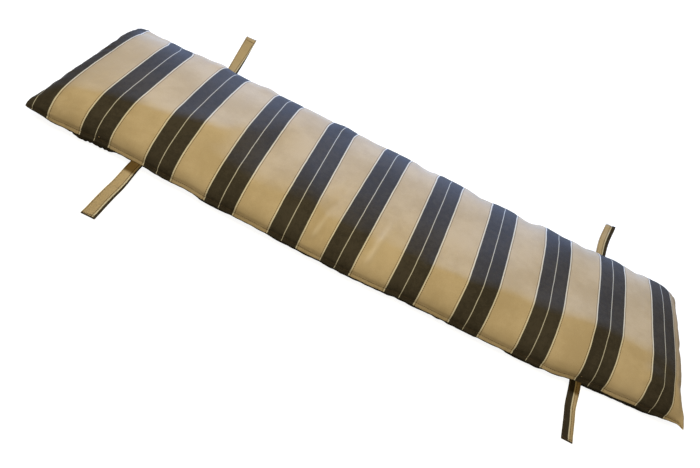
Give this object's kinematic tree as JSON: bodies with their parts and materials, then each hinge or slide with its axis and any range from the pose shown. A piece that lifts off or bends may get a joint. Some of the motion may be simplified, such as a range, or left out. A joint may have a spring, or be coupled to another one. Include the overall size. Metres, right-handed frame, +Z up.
{
  "type": "bench cushion",
  "caption": "Long filled bench cushion in wide-striped woven cloth, with flat ties in its long side seams, lying on its back.",
  "frame": {"origin": "middle of the flat base, on the surface that the cushion lies on", "axes": "+X along the cushion, +Y across it to the far side, +Z up through the crown"},
  "size_m": [1.5156, 0.7519, 0.0878],
  "materials": {
    "striped_cloth": "matte plain weave of tan, charcoal and cream stripes",
    "tie_cloth": "matte folded and stitched strap of the same cloth"
  },
  "bodies": {
    "root": {"cushion": "striped_cloth", "tie_near_left": "tie_cloth", "tie_near_right": "tie_cloth", "tie_far_left": "tie_cloth", "tie_far_right": "tie_cloth"}
  },
  "joints": []
}
